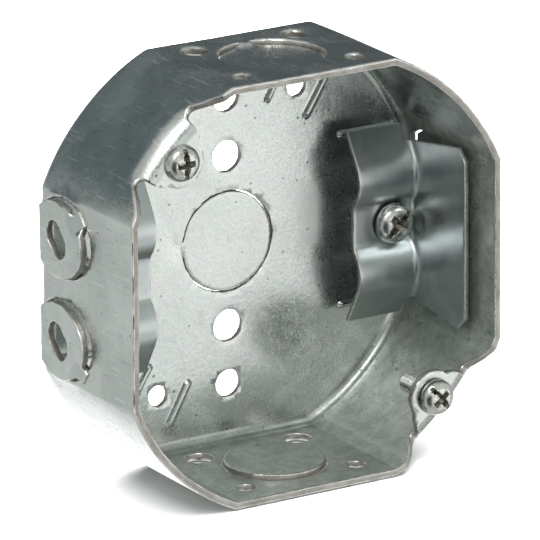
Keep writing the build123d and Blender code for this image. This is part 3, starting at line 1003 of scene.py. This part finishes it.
def galvanised():
    """Hot-dip zinc: pale spangle, grey bloom, matt areas darkened with painted shade, dark specks,
    handling scratches.
    """
    p = Paint("galvanised")
    spangle = p.cells(1.7, output="Color")
    grain = p.noise(0.55, 3.0, 0.65)
    bloom = p.noise(14, 4.0, 0.6, 0.6)
    patches = p.noise(4.5, 3.0, 0.55, 0.4)
    colour = p.mix(p.levels(bloom, 0.35, 0.68), (0.60, 0.63, 0.615), (0.74, 0.765, 0.75))
    colour = p.mix(0.05, colour, spangle, "OVERLAY")
    colour = p.mix(p.levels(patches, 0.56, 0.75, 0.0, 0.35), colour, (0.50, 0.53, 0.52))
    matt_and_shade = matt_and_shaded_walls(p)
    # painted shade: over the right wall, the bottom and the round wall between, the colour is darkened
    # to a blotchy grey
    blotches = p.noise(3.2, 5.0, 0.68, 0.5)
    tone = p.mix(p.levels(blotches, 0.36, 0.64), (0.26, 0.285, 0.262), (0.40, 0.43, 0.40))
    colour = p.mix(p.math("MULTIPLY", matt_and_shade, 0.85), colour, tone)
    specks = p.levels(p.cells(2.6), 0.075, 0.14, 1.0, 0.0)
    present = p.levels(p.noise(3.0, 1.0), 0.52, 0.56)
    specks = p.math("MULTIPLY", specks, present)
    pits = p.math("MULTIPLY", p.levels(p.cells(1.1), 0.14, 0.24, 1.0, 0.0), matt_and_shade)
    pits = p.math("MULTIPLY", pits, p.levels(p.noise(7.0, 2.0), 0.48, 0.56))
    specks = p.math("MAXIMUM", specks, pits)
    colour = p.mix(p.math("MULTIPLY", specks, 0.75), colour, (0.13, 0.14, 0.13))
    marks = scratches(p, (0, 0, 35), 0.5, 22, 0.66)
    marks = p.math("MAXIMUM", marks, scratches(p, (20, 60, 10), 0.6, 18, 0.67))
    marks = p.math("MULTIPLY", marks, p.levels(matt_and_shade, 0.0, 1.0, 1.0, 0.25))
    colour = p.mix(p.math("MULTIPLY", marks, 0.5), colour, (0.88, 0.9, 0.89))
    rubs = scratches(p, (40, 20, -50), 0.45, 16, 0.685)
    colour = p.mix(p.math("MULTIPLY", rubs, 0.5), colour, (0.22, 0.24, 0.24))
    roughness = p.levels(bloom, 0.3, 0.75, 0.2, 0.34)
    roughness = p.math("ADD", roughness, p.levels(grain, 0.3, 0.7, -0.04, 0.06))
    roughness = p.math("ADD", roughness, p.math("MULTIPLY", marks, 0.12))
    normal = p.bump(p.noise(1.3, 2.0, 0.5), 0.05, 0.55)
    normal = p.bump(grain, 0.012, 0.7, normal)
    normal = p.bump(specks, -0.06, 0.6, normal)
    roughness = p.math("ADD", roughness, p.math("MULTIPLY", matt_and_shade, 0.08))
    return p.finish(colour, roughness, normal, p.levels(matt_and_shade, 0.0, 1.0, 1.0, 0.85))


def cut_steel():
    """The sheared edge of the sheet: torn and stained, grey-brown."""
    p = Paint("sheared_edge")
    tear = p.noise(0.5, 4.0, 0.7, 0.5)
    stain = p.noise(5.0, 3.0, 0.6)
    colour = p.mix(p.levels(stain, 0.35, 0.65), (0.37, 0.34, 0.31), (0.52, 0.50, 0.47))
    colour = p.mix(p.levels(tear, 0.5, 0.7, 0.0, 0.7), colour, (0.66, 0.65, 0.62))
    roughness = p.levels(tear, 0.3, 0.7, 0.42, 0.6)
    normal = p.bump(tear, 0.06, 0.8)
    return p.finish(colour, roughness, normal)


def worn_edge():
    """The rolled-over edge beside a cut, rubbed bright."""
    p = Paint("rubbed_edge")
    grain = p.noise(0.8, 3.0, 0.6)
    stain = p.noise(3.5, 3.0, 0.6)
    colour = p.mix(p.levels(stain, 0.4, 0.7), (0.86, 0.86, 0.84), (0.62, 0.61, 0.58))
    roughness = p.levels(grain, 0.3, 0.7, 0.22, 0.4)
    return p.finish(colour, roughness, p.bump(grain, 0.03, 0.6))


def clamp_zinc():
    """Electroplated clamp sheet: smoother and bluer, with drawing lines along it."""
    p = Paint("clamp_zinc")
    bloom = p.noise(9, 3.0, 0.55, 0.5)
    lines = p.noise(0.35, 2.0, 0.5, 0.0, p.stretched((1.0, 1.0, 0.06)))
    grain = p.noise(0.4, 2.0, 0.6)
    colour = p.mix(p.levels(bloom, 0.35, 0.7), (0.50, 0.54, 0.545), (0.60, 0.64, 0.645))
    colour = p.mix(p.levels(lines, 0.55, 0.75, 0.0, 0.12), colour, (0.74, 0.77, 0.77))
    roughness = p.levels(bloom, 0.3, 0.7, 0.3, 0.36)
    roughness = p.math("ADD", roughness, p.levels(lines, 0.3, 0.7, -0.02, 0.02))
    normal = p.bump(lines, 0.003, 0.4)
    normal = p.bump(grain, 0.003, 0.4, normal)
    return p.finish(colour, roughness, normal)


def screw_zinc():
    """Bright zinc plate on the screws with brown stains; the recess is painted darker as painted shade
    by its own finish.
    """
    p = Paint("screw_zinc")
    stain = p.noise(1.6, 4.0, 0.65, 0.4)
    grain = p.noise(0.3, 3.0, 0.6)
    colour = p.mix(p.levels(stain, 0.45, 0.7), (0.72, 0.73, 0.71), (0.48, 0.46, 0.40))
    roughness = p.levels(grain, 0.3, 0.7, 0.16, 0.3)
    normal = p.bump(stain, 0.03, 0.5)
    return p.finish(colour, roughness, p.bump(grain, 0.01, 0.6, normal))


def recess_painted_shade():
    """The bottom of a screw's recess, painted near-black with mottling as painted shade."""
    p = Paint("recess_painted_shade")
    stain = p.noise(0.7, 3.0, 0.6)
    colour = p.mix(p.levels(stain, 0.4, 0.65), (0.10, 0.10, 0.075), (0.24, 0.235, 0.19))
    return p.finish(colour, p.levels(stain, 0.3, 0.7, 0.38, 0.55), p.bump(stain, 0.03, 0.5), 0.8)


def floor_paper():
    p = Paint("studio_paper")
    fibre = p.noise(0.6, 3.0, 0.6)
    colour = p.mix(p.levels(p.noise(90, 2.0), 0.3, 0.7), (0.93, 0.93, 0.93), (0.95, 0.95, 0.95))
    return p.finish(colour, p.levels(fibre, 0.3, 0.7, 0.8, 0.9), p.bump(fibre, 0.02, 0.3), 0.0)


# ---- the scene ----
sheet_finishes = [galvanised(), cut_steel(), worn_edge()]
clamp_finishes = [clamp_zinc(), cut_steel(), worn_edge()]
screw_finishes = [screw_zinc(), recess_painted_shade()]


def place_piece(piece, node, body):
    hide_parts(node)
    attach(piece, body)


place_piece(make_box_body(sheet_finishes), "box_body", "box")
place_piece(make_back_knockout(sheet_finishes), "back_knockout", "back_knockout")
for wall, side in (("top", 1), ("bottom", -1)):
    node = f"{wall}_knockout"
    place_piece(make_side_knockout(f"{wall}_disc", side, sheet_finishes), node, node)
seed = 20
for side_name, side in (("left", -1), ("right", 1)):
    for height_name, height in (("upper", 1), ("lower", -1)):
        node = f"{side_name}_{height_name}_pryout"
        seed += 1
        piece = make_pryout(f"{side_name}_{height_name}_tab", side, height, sheet_finishes, seed)
        place_piece(piece, node, node)
    node = f"{side_name}_clamp"
    backed_off = LEFT_BACKED_OFF if side < 0 else 0
    piece = make_clamp(f"{side_name}_cable_clamp", side, backed_off, clamp_finishes, seed + 10)
    place_piece(piece, node, node)
for name, node, size, angle in (
        ("left_clamp_bolt", "left_clamp_screw", CLAMP_SCREW_SIZE, 20),
        ("right_clamp_bolt", "right_clamp_screw", CLAMP_SCREW_SIZE, -42),
        ("upper_cover_bolt", "upper_cover_screw", COVER_SCREW_SIZE, 88),
        ("lower_cover_bolt", "lower_cover_screw", COVER_SCREW_SIZE, 50)):
    place_piece(make_screw(name, node, size, angle, screw_finishes), node, node)


# ---- floor and light ----
def make_floor():
    faces = []
    size, count = 3.0, 12
    places = [size * (2 * i / count - 1) for i in range(count + 1)]
    verts = [(x, y, 0) for x, y in grid(places, places)]
    for i in range(count):
        for j in range(count):
            a = i * (count + 1) + j
            faces.append((a, a + count + 1, a + count + 2, a + 1))
    mesh = bpy.data.meshes.new("floor")
    mesh.from_pydata(verts, [], faces)
    floor = bpy.data.objects.new("floor", mesh)
    bpy.context.scene.collection.objects.link(floor)
    floor.location.z = -FLAT_HALF * MM - 0.0003
    mesh.materials.append(floor_paper())
    floor.visible_glossy = False
    floor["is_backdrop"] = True


STUDIO_GROUND = (0.55, 0.57, 0.56)
# each area of the studio: direction, angle with full effect, angle with none, colour
STUDIO_AREAS = [
    ((0.3, 0.8, 0.0), 20, 75, (0.5, 0.5, 0.5)),
    ((-0.30, 0.81, 0.50), 20, 42, (0.13, 0.16, 0.17)),
    ((0.50, 0.81, 0.30), 14, 40, (0.10, 0.115, 0.12)),
    ((0.30, 0.81, -0.50), 14, 34, (1.5, 1.5, 1.5)),
    ((-0.50, 0.81, -0.30), 10, 30, (0.6, 0.63, 0.61)),
    ((-0.10, -0.98, 0.15), 14, 34, (1.2, 1.2, 1.15)),
    ((0.50, -0.81, 0.30), 20, 42, (0.62, 0.66, 0.62)),
    ((-0.48, -0.57, 0.67), 10, 30, (1.3, 1.3, 1.22)),
    ((-0.50, -0.81, -0.30), 18, 36, (0.045, 0.06, 0.06)),
    ((0.50, -0.81, -0.30), 16, 34, (1.3, 1.31, 1.28)),
    ((0.30, -0.81, -0.5), 6, 16, (0.3, 0.3, 0.3)),
    ((-0.30, -0.81, 0.50), 7, 16, (0.22, 0.24, 0.22)),
]


def make_world():
    """A soft studio as light by direction: a pale ground tone with brighter and darker areas."""
    world = bpy.data.worlds.new("studio")
    bpy.context.scene.world = world
    world.use_nodes = True
    world.node_tree.nodes.clear()
    add, link = world.node_tree.nodes.new, world.node_tree.links.new
    background = add("ShaderNodeBackground")
    link(background.outputs[0], add("ShaderNodeOutputWorld").inputs["Surface"])
    direction = add("ShaderNodeTexCoord").outputs["Generated"]
    level = None
    for toward, full, none, colour in STUDIO_AREAS:
        dot = add("ShaderNodeVectorMath")
        dot.operation = "DOT_PRODUCT"
        link(direction, dot.inputs[0])
        dot.inputs[1].default_value = Vector(toward).normalized()
        area = add("ShaderNodeMapRange")
        area.interpolation_type = "SMOOTHSTEP"
        link(dot.outputs["Value"], area.inputs["Value"])
        area.inputs["From Min"].default_value = math.cos(math.radians(none))
        area.inputs["From Max"].default_value = math.cos(math.radians(full))
        mix = add("ShaderNodeMix")
        mix.data_type = "RGBA"
        link(area.outputs[0], mix.inputs[0])
        mix.inputs[6].default_value = (*STUDIO_GROUND, 1)
        if level is not None:
            link(level, mix.inputs[6])
        mix.inputs[7].default_value = (*colour, 1)
        level = mix.outputs[2]
    link(level, background.inputs["Color"])


def make_lights():
    for name, place, size, power, in_reflections in (
            ("key", (-0.55, -0.75, 0.95), 0.5, 4.0, True),
            ("overhead", (0.0, 0.3, 2.2), 4.0, 320.0, False)):
        data = bpy.data.lights.new(name, "AREA")
        data.shape = "DISK"
        data.size = size
        data.energy = power
        lamp = bpy.data.objects.new(name, data)
        bpy.context.scene.collection.objects.link(lamp)
        lamp.visible_glossy = in_reflections
        lamp.location = place
        lamp.rotation_euler = (Vector((0, 0, 0)) - Vector(place)).to_track_quat("-Z", "Y").to_euler()


# ---- the viewpoint: to the left of the opening and above it, from far off ----
CAMERA_TURNS = (-31.58, 17.74, -0.43)  # azimuth, elevation and roll in degrees
CAMERA_TARGET = (0.05, -19.0, -1.86)
CAMERA_DISTANCE = 1616
CAMERA_LENS = 504.627


def make_camera():
    azimuth, elevation, roll = (math.radians(a) for a in CAMERA_TURNS)
    target = Vector(CAMERA_TARGET) * MM
    back = Vector((math.sin(azimuth) * math.cos(elevation),
                   -math.cos(azimuth) * math.cos(elevation), math.sin(elevation)))
    right = (-back).cross(Vector((0, 0, 1))).normalized()
    up = right.cross(-back)
    turned_right = right * math.cos(roll) + up * math.sin(roll)
    turned_up = up * math.cos(roll) - right * math.sin(roll)
    data = bpy.data.cameras.new("camera")
    data.sensor_width = 36
    data.lens = CAMERA_LENS
    data.clip_end = 20
    camera = bpy.data.objects.new("camera", data)
    bpy.context.scene.collection.objects.link(camera)
    basis = Matrix((turned_right, turned_up, back)).transposed().to_4x4()
    camera.matrix_world = Matrix.Translation(target + back * CAMERA_DISTANCE * MM) @ basis
    bpy.context.scene.camera = camera


bpy.context.scene.view_settings.view_transform = "Standard"
make_floor()
make_world()
make_lights()
make_camera()


def corners(box):
    return [list(corner) for corner in box]


{"cad": corners(cad_box), "visual": corners(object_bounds())}
